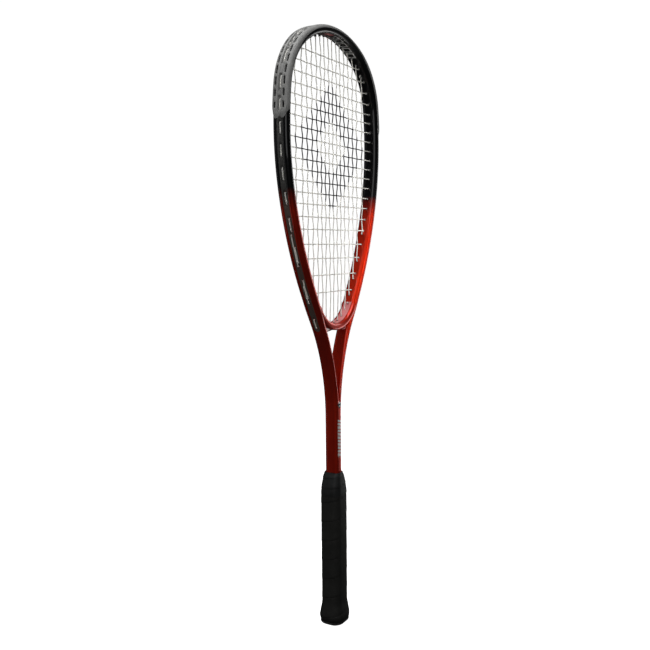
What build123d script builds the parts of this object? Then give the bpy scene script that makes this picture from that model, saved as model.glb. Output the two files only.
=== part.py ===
"""Squash racket, strung and gripped, as an assembly of separate pieces.

Frame: millimetres, origin at the centre of the butt's end face, +Z up the shaft to
the crown, X across the string face, Y through it.
"""
from build123d import *
from math import ceil, cos, hypot, radians, sin, tan
import os

# Frame: one hairpin tube, described by its outer face from the crown downwards
frame_top = 684.4
wall_arcs = ((122.6, 27.7), (80.7, 54.3), (313.8, 21.4), (422.6, 14.8))  # radius, turn
throat_radius = 215.3
shaft_width = 12.6
shaft_depth = 17.0
shaft_bottom = 6.0
tube_width = 10.0
beam = 18.8
edge_radius = 2.4
laminate = 1.3
taper_top, taper_bottom = 345.0, 255.0
fork_tip_width, fork_tip_height = 2.4, 266.0
shaft_bore = (9.4, 13.6)
shaft_bore_heights = (20.0, 246.0)

# Channel in the outer face for the grommet strips
channel_width, channel_depth = 8.8, 2.0
channel_foot = 349.0

# Throat bridge
bridge_top = 356.3
bridge_foot = 348.5
bridge_foot_radius = 80.0
bridge_beam = 18.2
bridge_edge = 2.0
bridge_side_x = 26.0
recess_width, recess_depth, recess_half_span = 6.0, 1.6, 14.5

# Bumper guard and grommet strips
bumper_half_width, bumper_thickness, bumper_edge = 8.6, 1.6, 2.6
bumper_foot = 572.0
strip_floor = 1.25
strip_top = 0.2
groove_width = 3.2
barrel_radius, barrel_bore, barrel_tip = 1.4, 0.9, 0.4
slot_length, slot_width, slot_pitch, slot_row = 8.0, 1.7, 13.6, 5.4

# Strings
string_radius = 0.6
string_side = 0.65
string_inset = 0.28
inner_bend, outer_bend, loop_bend = 0.8, 0.8, 2.0
least_turn = 2.0
corner_reach = 0.8
loop_step = 9.0
knot_radius, knot_length, knot_edge = 1.5, 1.5, 0.5
main_x = (4.2, 12.7, 21.1, 29.8, 39.8, 49.9, 59.8, 72.4)
cross_z = (652.2, 639.2, 627.2, 614.7, 603.0, 592.5, 581.4, 570.2, 559.2, 547.9, 537.0,
           525.8, 514.3, 502.0, 490.0, 476.3, 462.9, 446.6, 430.8, 412.1, 392.7)
bridge_exit_x = (4.2, 11.5)
arm_exit_z = (352.7, 362.8)

# Handle: height, width, depth and corner radius of the grip's outer face
grip_sections = ((3.0, 32.0, 28.0, 9.0), (9.0, 33.5, 29.5, 10.0), (25.0, 29.0, 25.5, 9.0),
                 (157.0, 29.0, 25.5, 9.0), (166.0, 26.8, 24.3, 8.4), (175.5, 21.4, 22.4, 7.0),
                 (181.5, 15.4, 19.8, 5.2))
grip_foot, grip_top = 3.0, 179.0
grip_thickness, adhesive_thickness = 1.6, 0.2
adhesive_foot, adhesive_top = 5.0, 170.0
tape_foot, tape_top, tape_thickness = 155.0, 181.5, 0.35
cap_height, cap_wall, cap_edge = 30.0, 1.4, 2.0
pallet_foot, pallet_top = 4.0, 176.0
staple_width, staple_wire, staple_leg, staple_bend = 6.0, 0.6, 5.0, 0.5
staple_heights, staple_sink = (14.0, 24.0), 0.35

os.makedirs("parts", exist_ok=True)


# The outer face as arcs: centre x, centre z, radius, heading at its start, length
arc_table = []
x, z, heading = 0.0, frame_top, 0.0
for radius, turn in wall_arcs:
    centre_x = x - radius * sin(radians(heading))
    centre_z = z - radius * cos(radians(heading))
    arc_table.append((centre_x, centre_z, radius, heading, radius * radians(turn)))
    heading += turn
    x = centre_x + radius * sin(radians(heading))
    z = centre_z + radius * cos(radians(heading))
arc_length = sum(entry[4] for entry in arc_table)
arm_heading = radians(heading)
arm_lean = heading - 90
throat_shift = throat_radius * (1 - cos(radians(arm_lean)))
arm_run = (x - throat_shift - shaft_width / 2) / sin(radians(arm_lean))
wall_end = arc_length + arm_run


def wall_point(along, inset):
    """Point at a distance along the wall from the crown and a depth below its face."""
    side, rest = (-1, -along) if along < 0 else (1, along)
    for centre_x, centre_z, radius, start, length in arc_table:
        if rest <= length:
            angle = radians(start) + rest / radius
            reach = radius - inset
            return side * (centre_x + reach * sin(angle)), centre_z + reach * cos(angle)
        rest -= length
    nx, nz = sin(arm_heading), cos(arm_heading)
    return side * (x + rest * nz - inset * nx), z - rest * nx - inset * nz


def wall_normal(along):
    """Outward direction of the wall at a distance along it from the crown."""
    outer, inner = wall_point(along, 0), wall_point(along, 1)
    return outer[0] - inner[0], outer[1] - inner[1]


def along_at(axis, value, inset, low, high):
    """Distance along the wall at which x or z has a value, between two distances."""
    rising = wall_point(high, inset)[axis] > wall_point(low, inset)[axis]
    for _ in range(50):
        middle = (low + high) / 2
        if (wall_point(middle, inset)[axis] > value) == rising:
            high = middle
        else:
            low = middle
    return low


def draw_wall(inset, first, last):
    """Lines of the wall's contour at a depth below its face, between two distances."""
    joints = [0.0]
    for entry in arc_table:
        joints.append(joints[-1] + entry[4])
    joints = sorted({sign * joint for joint in joints for sign in (-1, 1)})
    stops = [first] + [joint for joint in joints if first < joint < last] + [last]
    for start, end in zip(stops, stops[1:]):
        middle = (start + end) / 2
        if abs(middle) > arc_length:
            Line(wall_point(start, inset), wall_point(end, inset))
        else:
            ThreePointArc(*(wall_point(at, inset) for at in (start, middle, end)))


def wall_band(first, last, outer_inset, inner_inset):
    """Face of a band that follows the wall between two depths."""
    with BuildLine() as outline:
        draw_wall(outer_inset, first, last)
        draw_wall(inner_inset, first, last)
        Line(wall_point(first, outer_inset), wall_point(first, inner_inset))
        Line(wall_point(last, outer_inset), wall_point(last, inner_inset))
    make_face(outline.edges())


def long_edges(part, least_depth):
    """Edges that run along a part's front and back faces."""
    return part.edges().filter_by(lambda edge: abs(edge.center().Y) > least_depth)


# The bridge's top face is an arc tangent to the inner faces of both arms
inner_x, inner_z = wall_point(arc_length, tube_width)
bridge_radius = inner_x * sin(arm_heading) + (inner_z - bridge_top) * cos(arm_heading)
bridge_radius = bridge_radius / (1 + cos(arm_heading))
arm_fork = bridge_top + bridge_radius * (1 + cos(arm_heading))

fork_along = along_at(1, arm_fork, tube_width, 0, wall_end)
channel_along = along_at(1, channel_foot, 0, 0, wall_end)
bumper_along = along_at(1, bumper_foot, 0, 0, wall_end)
heading_before_side = wall_arcs[0][1] + wall_arcs[1][1]
widest_along = arc_table[0][4] + arc_table[1][4]
widest_along += radians(90 - heading_before_side) * wall_arcs[2][0]

# A string end has an inner and an outer corner, in the string's plane
corner_inset = tube_width + barrel_tip + corner_reach
floor_depth = strip_floor - string_inset
strip_thickness = channel_depth - strip_floor


def wall_end_at(along, plane):
    """A string end that goes through the wall, with its place along it."""
    return {"along": along, "inner": wall_point(along, corner_inset),
            "outer": wall_point(along, string_inset), "plane": plane}


def bridge_surface(across):
    """Height of the bridge's top face at a distance from the axis."""
    return bridge_top + bridge_radius - (bridge_radius**2 - across**2) ** 0.5


def bridge_underside(across):
    """Height of the bridge's lower face at a distance from the axis."""
    return bridge_foot - bridge_foot_radius + (bridge_foot_radius**2 - across**2) ** 0.5


main_tops = [wall_end_at(along_at(0, across, corner_inset, 0, widest_along), string_side)
             for across in main_x]
main_feet = []
tip_rise = barrel_tip + corner_reach
for across, exit_x in zip(main_x, bridge_exit_x):
    inner = (across, bridge_surface(across) + tip_rise)
    roof = bridge_underside(exit_x) + recess_depth
    outer = (exit_x, roof - strip_thickness - floor_depth)
    main_feet.append({"inner": inner, "outer": outer, "plane": string_side})
for across, exit_z in zip(main_x[2:4], arm_exit_z):
    inner = (across, bridge_surface(across) + tip_rise)
    along = along_at(1, exit_z, string_inset, 0, wall_end)
    main_feet.append({"along": along, "inner": inner, "outer": wall_point(along, string_inset),
                      "plane": string_side})
for across in main_x[4:]:
    along = along_at(0, across, corner_inset, widest_along, wall_end)
    main_feet.append(wall_end_at(along, string_side))
cross_ends = [wall_end_at(along_at(1, height, corner_inset, 0, wall_end), -string_side)
              for height in cross_z]

# Each string's tail comes back in through a tie-off hole halfway between two others
main_tie = wall_end_at((cross_ends[0]["along"] + cross_ends[1]["along"]) / 2, string_side)
first_cross_tie = wall_end_at((cross_ends[0]["along"] + main_tops[-1]["along"]) / 2, -string_side)
last_cross_tie = wall_end_at((main_feet[3]["along"] + main_feet[4]["along"]) / 2, -string_side)


def mirrored(end):
    """The same string end on the other side of the racket."""
    flipped = dict(end)
    flipped["inner"] = (-end["inner"][0], end["inner"][1])
    flipped["outer"] = (-end["outer"][0], end["outer"][1])
    if "along" in end:
        flipped["along"] = -end["along"]
    return flipped


def barrel_plane(end, above_floor):
    """Plane across a grommet barrel, above its strip's floor and facing the tip."""
    (inner_x, inner_z), (outer_x, outer_z) = end["inner"], end["outer"]
    length = hypot(inner_x - outer_x, inner_z - outer_z)
    dx, dz = (inner_x - outer_x) / length, (inner_z - outer_z) / length
    start = (outer_x + above_floor * dx, end["plane"], outer_z + above_floor * dz)
    return Plane(origin=start, z_dir=(dx, 0, dz))


def barrel_length(end):
    """Length of a barrel from its strip's floor to its tip."""
    (inner_x, inner_z), (outer_x, outer_z) = end["inner"], end["outer"]
    return hypot(inner_x - outer_x, inner_z - outer_z) - floor_depth - corner_reach


both_sides = [end for pair in ((e, mirrored(e)) for e in main_tops + main_feet + cross_ends)
              for end in pair]
both_sides += [main_tie, mirrored(main_tie), mirrored(first_cross_tie), last_cross_tie]
bumper_ends = [end for end in both_sides if abs(end.get("along", wall_end)) < bumper_along]
bridge_ends = [end for end in both_sides if "along" not in end]
side_ends = [end for end in both_sides if end not in bumper_ends + bridge_ends]


def add_barrels(ends):
    """Barrels of a grommet strip, then the bores that the string runs through."""
    for end in ends:
        with Locations(barrel_plane(end, floor_depth + 0.2)):
            Cylinder(barrel_radius, barrel_length(end) - 0.2,
                     align=(Align.CENTER, Align.CENTER, Align.MIN))
    for end in ends:
        with Locations(barrel_plane(end, 0)):
            Cylinder(barrel_bore, barrel_length(end) + 2,
                     align=(Align.CENTER, Align.CENTER, Align.MIN), mode=Mode.SUBTRACT)


def drill(ends):
    """Holes that the barrels pass through."""
    for end in ends:
        with Locations(barrel_plane(end, 0)):
            Cylinder(barrel_radius, barrel_length(end) + 2,
                     align=(Align.CENTER, Align.CENTER, Align.MIN), mode=Mode.SUBTRACT)


def handle_size(height, inset):
    """Width, depth and corner radius of the handle, inside the grip's outer face."""
    for low, high in zip(grip_sections, grip_sections[1:]):
        if low[0] <= height <= high[0]:
            share = (height - low[0]) / (high[0] - low[0])
            width, depth, corner = (a + share * (b - a) for a, b in zip(low[1:], high[1:]))
    return width - 2 * inset, depth - 2 * inset, corner - inset


def handle_section(height, inset):
    """Section of the handle at a height, inside the grip's outer face."""
    width, depth, corner = handle_size(height, inset)
    with BuildSketch(Plane.XY.offset(height)) as section:
        RectangleRounded(width, depth, corner)
    return section.sketch.face()


def handle_loft(inset, low, high, mode=Mode.ADD):
    """Solid of the handle between two heights, inside the grip's outer face."""
    heights = [low] + [row[0] for row in grip_sections if low < row[0] < high] + [high]
    loft([handle_section(height, inset) for height in heights], ruled=True, mode=mode)


def turn_angle(before, corner, after):
    """Angle by which a string turns at a corner, in degrees."""
    arriving = Vector(corner[0] - before[0], corner[1] - before[1])
    leaving = Vector(after[0] - corner[0], after[1] - corner[1])
    return arriving.get_angle(leaving)


def channel_points(first, last):
    """Corners, in steps, that keep a string on the strip between two string ends."""
    if "along" not in first:
        return []
    start, finish = first["along"], last["along"]
    count = ceil(abs(finish - start) / loop_step)
    return [wall_point(start + (finish - start) * step / count, string_inset)
            for step in range(1, count)]


def string_route(ends):
    """Corners and bend reaches of a string through pairs of ends, tie-offs first and last."""
    route = []
    for number, end in enumerate(ends):
        goes_out = number % 2 == 0
        corners = [(end["inner"], inner_bend), (end["outer"], outer_bend)]
        route += corners if goes_out else corners[::-1]
        if goes_out:
            route += [(point, loop_bend) for point in channel_points(end, ends[number + 1])]
    return route


def draw_string(route):
    """A string's centre line, straight between its bends."""
    bends = [(corner, turn_angle(before, corner, after), reach)
             for (before, _), (corner, reach), (after, _) in zip(route, route[1:], route[2:])]
    bends = [bend for bend in bends if bend[1] > least_turn]
    points = [route[0][0]] + [corner for corner, _, _ in bends] + [route[-1][0]]
    radii = [reach / tan(radians(turn / 2)) for _, turn, reach in bends]
    return FilletPolyline(*points, radius=radii)


# Frame tube: hoop, arms and shaft in one hollow hairpin
with BuildPart() as frame_tube:
    with BuildSketch(Plane.XZ):
        with BuildLine():
            draw_wall(0, 0, wall_end)
            lean = (cos(arm_heading), -sin(arm_heading))
            throat = JernArc(wall_point(wall_end, 0), lean, throat_radius, arm_lean)
            shaft_side = Line(throat @ 1, (shaft_width / 2, shaft_bottom))
            Line(shaft_side @ 1, (0, shaft_bottom))
            mirror(about=Plane.YZ)
        make_face()
        with BuildLine():
            draw_wall(tube_width, 0, fork_along)
            fork_tip = (fork_tip_width / 2, fork_tip_height)
            fork = TangentArc(wall_point(fork_along, tube_width), fork_tip, tangent=lean)
            tip_direction = fork % 1
            mirror(about=Plane.YZ)
            TangentArc(fork_tip, (-fork_tip[0], fork_tip[1]), tangent=tip_direction)
        make_face(mode=Mode.SUBTRACT)
    extrude(amount=beam / 2, both=True)
    with BuildSketch(Plane.YZ):
        with BuildLine():
            waist = ((beam + shaft_depth) / 4, (taper_top + taper_bottom) / 2)
            crown_line = Line((0, frame_top + 1), (beam / 2, frame_top + 1))
            Line(crown_line @ 1, (beam / 2, taper_top))
            TangentArc((beam / 2, taper_top), waist, tangent=(0, -1))
            TangentArc((shaft_depth / 2, taper_bottom), waist, tangent=(0, 1))
            shaft_line = Line((shaft_depth / 2, taper_bottom), (shaft_depth / 2, 0))
            Line(shaft_line @ 1, (0, 0))
            mirror(about=Plane.YZ)
        make_face()
    extrude(amount=frame_top, both=True, mode=Mode.INTERSECT)
    above_foot = long_edges(frame_tube, shaft_depth / 4)
    fillet(above_foot.filter_by(lambda edge: edge.center().Z > shaft_bottom + 1), edge_radius)
    with BuildSketch(Plane.XZ):
        wall_band(-channel_along, channel_along, -1, channel_depth)
    extrude(amount=channel_width / 2, both=True, mode=Mode.SUBTRACT)
    with BuildSketch(Plane.XZ):
        wall_band(-fork_along, fork_along, channel_depth + laminate, tube_width - laminate)
    extrude(amount=beam / 2 - laminate, both=True, mode=Mode.SUBTRACT)
    with BuildSketch(Plane.XY.offset(shaft_bore_heights[0])):
        RectangleRounded(*shaft_bore, radius=edge_radius - laminate)
    extrude(amount=shaft_bore_heights[1] - shaft_bore_heights[0], mode=Mode.SUBTRACT)
    drill(both_sides)
frame_tube.part.label = "frame_tube"
export_step(frame_tube.part, "parts/frame_tube.step")

# Throat bridge: closes the hoop between the arms
with BuildPart() as throat_bridge:
    with BuildSketch(Plane.XZ):
        with BuildLine():
            shoulder_x = bridge_radius * sin(arm_heading)
            side_z = bridge_underside(bridge_side_x)
            top = ThreePointArc((-shoulder_x, arm_fork), (0, bridge_top), (shoulder_x, arm_fork))
            side = Line(top @ 1, (bridge_side_x, side_z))
            foot = ThreePointArc(side @ 1, (0, bridge_foot), (-bridge_side_x, side_z))
            Line(foot @ 1, top @ 0)
        make_face()
    extrude(amount=bridge_beam / 2, both=True)
    arcs = long_edges(throat_bridge, bridge_beam / 4).filter_by(GeomType.CIRCLE)
    fillet(arcs, bridge_edge)
    with BuildSketch(Plane.XZ):
        with BuildLine():
            low_z = bridge_underside(recess_half_span)
            roof_z = low_z + recess_depth
            roof_top = (0, bridge_foot + recess_depth)
            roof = ThreePointArc((-recess_half_span, roof_z), roof_top, (recess_half_span, roof_z))
            recess_side = Line(roof @ 1, (recess_half_span, low_z - 1))
            recess_mouth = Line(recess_side @ 1, (-recess_half_span, low_z - 1))
            Line(recess_mouth @ 1, roof @ 0)
        make_face()
    extrude(amount=recess_width / 2, both=True, mode=Mode.SUBTRACT)
    add(frame_tube.part, mode=Mode.SUBTRACT)
    drill(both_sides)
throat_bridge.part.label = "throat_bridge"
export_step(throat_bridge.part, "parts/throat_bridge.step")

# Bumper guard: wraps the crown, with string groove, vent slots and barrels
with BuildPart() as bumper_guard:
    with BuildSketch(Plane.XZ):
        wall_band(-bumper_along, bumper_along, -bumper_thickness, channel_depth)
    extrude(amount=bumper_half_width, both=True)
    outer_edges = long_edges(bumper_guard, bumper_half_width / 2).filter_by(GeomType.CIRCLE)
    inner_reach = [radius - channel_depth for radius, _ in wall_arcs]
    fillet(outer_edges.filter_by(
        lambda edge: min(abs(edge.radius - reach) for reach in inner_reach) > 1), bumper_edge)
    add(frame_tube.part, mode=Mode.SUBTRACT)
    with BuildSketch(Plane.XZ):
        wall_band(-bumper_along - 1, bumper_along + 1, -bumper_thickness - 1, strip_floor)
    extrude(amount=groove_width / 2, both=True, mode=Mode.SUBTRACT)
    slot_count = int(bumper_along / slot_pitch)
    for number in range(-slot_count, slot_count):
        along = (number + 0.5) * slot_pitch
        (slot_x, slot_z), (normal_x, normal_z) = wall_point(along, 0), wall_normal(along)
        for row in (-slot_row, slot_row):
            slot_plane = Plane(origin=(slot_x, row, slot_z), x_dir=(normal_z, 0, -normal_x),
                               z_dir=(normal_x, 0, normal_z))
            with BuildSketch(slot_plane):
                SlotOverall(slot_length, slot_width)
            extrude(amount=bumper_thickness + 1, mode=Mode.SUBTRACT)
    add_barrels(bumper_ends)
bumper_guard.part.label = "bumper_guard"
export_step(bumper_guard.part, "parts/bumper_guard.step")

# Grommet strips in the side channels, one on each side
for name, side in (("grommet_strip_left", -1), ("grommet_strip_right", 1)):
    first, last = sorted((side * bumper_along, side * channel_along))
    with BuildPart() as grommet_strip:
        with BuildSketch(Plane.XZ):
            wall_band(first, last, strip_top, channel_depth)
        extrude(amount=channel_width / 2, both=True)
        with BuildSketch(Plane.XZ):
            wall_band(first, last, strip_top - 1, strip_floor)
        extrude(amount=groove_width / 2, both=True, mode=Mode.SUBTRACT)
        add_barrels([end for end in side_ends if end["along"] * side > 0])
    grommet_strip.part.label = name
    export_step(grommet_strip.part, f"parts/{name}.step")

# Grommet strip under the bridge
with BuildPart() as bridge_grommet_strip:
    with BuildSketch(Plane.XZ):
        with BuildLine():
            span = recess_half_span
            upper = ThreePointArc((-span, roof_z), roof_top, (span, roof_z))
            drop = Line(upper @ 1, (span, roof_z - strip_thickness))
            lower_top = (0, bridge_foot + recess_depth - strip_thickness)
            lower = ThreePointArc(drop @ 1, lower_top, (-span, roof_z - strip_thickness))
            Line(lower @ 1, upper @ 0)
        make_face()
    extrude(amount=recess_width / 2, both=True)
    add_barrels(bridge_ends)
bridge_grommet_strip.part.label = "bridge_grommet_strip"
export_step(bridge_grommet_strip.part, "parts/bridge_grommet_strip.step")

# Main string: up and down the head, through every grommet on its way
main_ends = [mirrored(main_tie)]
for number, (foot_end, top_end) in enumerate(zip(main_feet[::-1], main_tops[::-1])):
    pair = [mirrored(top_end), mirrored(foot_end)]
    main_ends += pair if number % 2 == 0 else pair[::-1]
for number, (foot_end, top_end) in enumerate(zip(main_feet, main_tops)):
    pair = [top_end, foot_end]
    main_ends += pair if number % 2 == 0 else pair[::-1]
main_ends.append(main_tie)

# Cross string: from side to side, starting at the crown
cross_string_ends = [mirrored(first_cross_tie)]
for number, end in enumerate(cross_ends):
    pair = [mirrored(end), end]
    cross_string_ends += pair if number % 2 == 0 else pair[::-1]
cross_string_ends.append(last_cross_tie)

with BuildPart() as knot:
    Cylinder(knot_radius, knot_length)
    fillet(knot.edges().filter_by(GeomType.CIRCLE), knot_edge)

for name, ends in (("main_string", main_ends), ("cross_string", cross_string_ends)):
    with BuildPart() as string:
        with BuildLine(Plane.XZ.offset(-ends[0]["plane"])):
            path = draw_string(string_route(ends))
        with BuildSketch(Plane(origin=path @ 0, z_dir=path % 0)):
            Circle(string_radius)
        sweep(path=path)
        for at in (0, 1):
            with Locations(Plane(origin=path @ at, z_dir=path % at)):
                add(knot.part)
    string.part.label = name
    export_step(string.part, f"parts/{name}.step")

# Staples that hold the butt cap to the pallets
under_grip = grip_thickness + adhesive_thickness
with BuildPart() as butt_cap_staples:
    for height in staple_heights:
        crown_x = handle_size(height, under_grip)[0] / 2 - staple_sink
        tip_x = crown_x - staple_leg
        half_crown = staple_width / 2
        for side in (-1, 1):
            with BuildLine(Plane.XY.offset(height)):
                wire = FilletPolyline(
                    (side * tip_x, -half_crown), (side * crown_x, -half_crown),
                    (side * crown_x, half_crown), (side * tip_x, half_crown), radius=staple_bend)
            with BuildSketch(Plane(origin=wire @ 0, z_dir=wire % 0)):
                Circle(staple_wire / 2)
            sweep(path=wire)
butt_cap_staples.part.label = "butt_cap_staples"
export_step(butt_cap_staples.part, "parts/butt_cap_staples.step")

# Butt cap: a rim under the grip's end and a cup around the pallets
socket = handle_size(cap_height, under_grip + cap_wall)
with BuildPart() as butt_cap:
    with BuildSketch(Plane.XY):
        RectangleRounded(*handle_size(grip_foot, 0))
    extrude(amount=grip_foot)
    fillet(butt_cap.edges().group_by(Axis.Z)[0], cap_edge)
    handle_loft(under_grip, grip_foot, cap_height)
    with BuildSketch(Plane.XY.offset(pallet_foot)):
        RectangleRounded(*socket)
    extrude(amount=cap_height, mode=Mode.SUBTRACT)
    add(butt_cap_staples.part, mode=Mode.SUBTRACT)
butt_cap.part.label = "butt_cap"
export_step(butt_cap.part, "parts/butt_cap.step")

# Handle pallets: two halves around the shaft
for name, keep in (("handle_pallet_left", Keep.BOTTOM), ("handle_pallet_right", Keep.TOP)):
    with BuildPart() as handle_pallet:
        handle_loft(under_grip, cap_height, pallet_top)
        with BuildSketch(Plane.XY.offset(pallet_foot)):
            RectangleRounded(*socket)
        extrude(amount=cap_height - pallet_foot)
        with BuildSketch(Plane.XY.offset(shaft_bottom)):
            RectangleRounded(shaft_width, shaft_depth, edge_radius)
        extrude(amount=pallet_top, mode=Mode.SUBTRACT)
        add(butt_cap_staples.part, mode=Mode.SUBTRACT)
        split(bisect_by=Plane.YZ, keep=keep)
    handle_pallet.part.label = name
    export_step(handle_pallet.part, f"parts/{name}.step")

# Adhesive strip, grip and finishing tape, from the inside out
with BuildPart() as grip_adhesive_strip:
    handle_loft(grip_thickness, adhesive_foot, adhesive_top)
    handle_loft(under_grip, adhesive_foot, adhesive_top, mode=Mode.SUBTRACT)
grip_adhesive_strip.part.label = "grip_adhesive_strip"
export_step(grip_adhesive_strip.part, "parts/grip_adhesive_strip.step")

with BuildPart() as grip_tape:
    handle_loft(0, grip_foot, tape_foot)
    handle_loft(tape_thickness, tape_foot, grip_top)
    handle_loft(grip_thickness, grip_foot, grip_top, mode=Mode.SUBTRACT)
grip_tape.part.label = "grip_tape"
export_step(grip_tape.part, "parts/grip_tape.step")

with BuildPart() as grip_finishing_tape:
    handle_loft(0, tape_foot, tape_top)
    handle_loft(tape_thickness, tape_foot, tape_top, mode=Mode.SUBTRACT)
grip_finishing_tape.part.label = "grip_finishing_tape"
export_step(grip_finishing_tape.part, "parts/grip_finishing_tape.step")
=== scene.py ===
"""Squash racket: the looks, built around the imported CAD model. Lengths are in millimetres
until a mesh is made. Materials, lights and the camera are in metres."""
from math import asin, ceil, cos, hypot, pi, radians, sin, sqrt

import bmesh
import bpy
from mathutils import Matrix, Vector


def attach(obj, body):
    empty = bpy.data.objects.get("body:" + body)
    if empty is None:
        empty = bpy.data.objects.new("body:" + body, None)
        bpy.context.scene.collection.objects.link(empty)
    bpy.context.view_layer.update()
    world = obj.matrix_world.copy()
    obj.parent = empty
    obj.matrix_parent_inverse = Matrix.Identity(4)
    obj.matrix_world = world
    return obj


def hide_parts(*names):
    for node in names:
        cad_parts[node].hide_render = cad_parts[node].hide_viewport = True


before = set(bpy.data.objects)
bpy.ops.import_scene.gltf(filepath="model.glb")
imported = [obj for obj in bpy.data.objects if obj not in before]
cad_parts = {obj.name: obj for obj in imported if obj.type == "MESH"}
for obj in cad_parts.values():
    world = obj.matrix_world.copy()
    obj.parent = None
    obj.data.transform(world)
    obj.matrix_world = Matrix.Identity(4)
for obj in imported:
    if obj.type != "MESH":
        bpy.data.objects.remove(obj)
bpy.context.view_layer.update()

MM = 0.001

# -------- the racket's shape
FRAME_TOP = 684.4
WALL_ARCS = ((122.6, 27.7), (80.7, 54.3), (313.8, 21.4), (422.6, 14.8))
THROAT_RADIUS = 215.3
SHAFT_HALF = 6.3
SHAFT_FOOT = 6.0
TUBE, CROWN_THINNING = 10.0, 3.0
HALF_BEAM = 9.4
SHAFT_HALF_DEPTH = 8.5
TAPER = (378.0, 350.0)
CORNER, INNER_CORNER = 4.1, 5.4
FORK_TIP = 266.0
CHANNEL_HALF, CHANNEL_DEPTH, CHANNEL_FOOT = 3.7, 1.7, 349.0
BRIDGE_TOP, BRIDGE_FOOT, BRIDGE_FOOT_RADIUS = 356.3, 348.5, 80.0
BRIDGE_WIDTH, BRIDGE_HALF_BEAM, BRIDGE_CORNER = 7.8, 9.3, 3.6
WEB_SPAN, WEB_HALF_FOOT, WEB_HALF_TOP = 26.0, 3.2, 4.2
BUMPER_FOOT = 572.0

STRING_RADIUS, STRING_SIDE = 0.62, 0.65
MAIN_X = (4.2, 12.7, 21.1, 29.8, 39.8, 49.9, 59.8, 72.4)
CROSS_Z = (652.2, 639.2, 627.2, 614.7, 603.0, 592.5, 581.4, 570.2, 559.2, 547.9, 537.0,
           525.8, 514.3, 502.0, 490.0, 476.3, 462.9, 446.6, 430.8, 412.1, 392.7)
BARREL_RADIUS, BARREL_BORE = 1.4, 0.85
BRIDGE_EXIT_X = (4.2, 11.5)
ARM_EXIT_Z = (352.7, 362.8)
STRING_INSET, BARREL_TIP, CORNER_REACH = 0.28, 0.4, 0.8
STRIP_FLOOR, STRIP_PAD = 1.25, 0.5
WEAVE = 0.54
SLOT_PITCH, SLOT_ROW, SLOT_HALF_WIDTH = 12.2, 5.4, 1.15
RECESS_ROOF = 1.6
GRIP_FOOT, GRIP_TOP, TAPE_FOOT, TAPE_TOP = 3.0, 178.0, 155.0, 181.5
GRIP_PITCH = 23.0

GRIP_SECTIONS = ((0.0, 29.6, 25.6, 10.6), (0.6, 31.6, 27.6, 10.9), (3.0, 33.2, 29.2, 11.4),
                 (9.0, 34.8, 30.8, 11.8), (14.0, 33.0, 29.2, 11.2), (25.0, 29.0, 25.5, 9.4),
                 (157.0, 29.0, 25.5, 9.0), (166.0, 26.8, 24.3, 8.4), (175.5, 21.4, 22.4, 7.0),
                 (181.5, 15.4, 19.8, 5.2))

# The outer face as arcs: centre x, centre z, radius, heading at its start, length
arc_table = []
x, z, heading = 0.0, FRAME_TOP, 0.0
for radius, turn in WALL_ARCS:
    centre = (x - radius * sin(radians(heading)), z - radius * cos(radians(heading)))
    arc_table.append((*centre, radius, heading, radius * radians(turn)))
    heading += turn
    x = centre[0] + radius * sin(radians(heading))
    z = centre[1] + radius * cos(radians(heading))
ARC_LENGTH = sum(entry[4] for entry in arc_table)
ARM_HEADING = radians(heading)
ARM_END = (x, z)
throat_shift = THROAT_RADIUS * (1 - sin(ARM_HEADING))
ARM_RUN = (x - throat_shift - SHAFT_HALF) / -cos(ARM_HEADING)
WALL_END = ARC_LENGTH + ARM_RUN


def smooth(low, high, value):
    """0 below low, 1 above high, with a smooth rise between."""
    share = min(1.0, max(0.0, (value - low) / (high - low)))
    return share * share * (3 - 2 * share)


def wall_point(along, inset):
    """Point at a distance along the wall from the crown and a depth below its face."""
    side, rest = (-1, -along) if along < 0 else (1, along)
    for centre_x, centre_z, radius, start, length in arc_table:
        if rest <= length:
            angle = radians(start) + rest / radius
            reach = radius - inset
            return side * (centre_x + reach * sin(angle)), centre_z + reach * cos(angle)
        rest -= length
    nx, nz = sin(ARM_HEADING), cos(ARM_HEADING)
    end_x, end_z = ARM_END
    return side * (end_x + rest * nz - inset * nx), end_z - rest * nx - inset * nz


def tube_width(along):
    """Width of the tube in the racket's plane, thinner round the crown."""
    return TUBE - CROWN_THINNING * (1 - smooth(12, 78, abs(along)))


def along_at(axis, value, inset, low, high):
    """Distance along the wall at which x or z has a value, between two distances."""
    rising = wall_point(high, inset)[axis] > wall_point(low, inset)[axis]
    for _ in range(50):
        middle = (low + high) / 2
        if (wall_point(middle, inset)[axis] > value) == rising:
            high = middle
        else:
            low = middle
    return low


inner_x, inner_z = wall_point(ARC_LENGTH, TUBE)
BRIDGE_RADIUS = inner_x * sin(ARM_HEADING) + (inner_z - BRIDGE_TOP) * cos(ARM_HEADING)
BRIDGE_RADIUS /= 1 + cos(ARM_HEADING)
FORK_Z = BRIDGE_TOP + BRIDGE_RADIUS * (1 + cos(ARM_HEADING))
FORK_ALONG = along_at(1, FORK_Z, TUBE, 0, WALL_END)
CHANNEL_ALONG = along_at(1, CHANNEL_FOOT, 0, 0, WALL_END)
BUMPER_ALONG = along_at(1, BUMPER_FOOT, 0, 0, WALL_END)
WIDEST_ALONG = arc_table[0][4] + arc_table[1][4] + radians(8) * WALL_ARCS[2][0]


# -------- mesh helpers
def add_object(name, data):
    """A new object in the scene that shows a mesh, a light or a camera."""
    piece = bpy.data.objects.new(name, data)
    bpy.context.collection.objects.link(piece)
    return piece


def plain_object(name, verts, faces):
    """A closed mesh object in millimetres, not yet part of the racket."""
    mesh = bpy.data.meshes.new(name)
    mesh.from_pydata([tuple(v) for v in verts], [], faces)
    return add_object(name, mesh)


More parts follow.
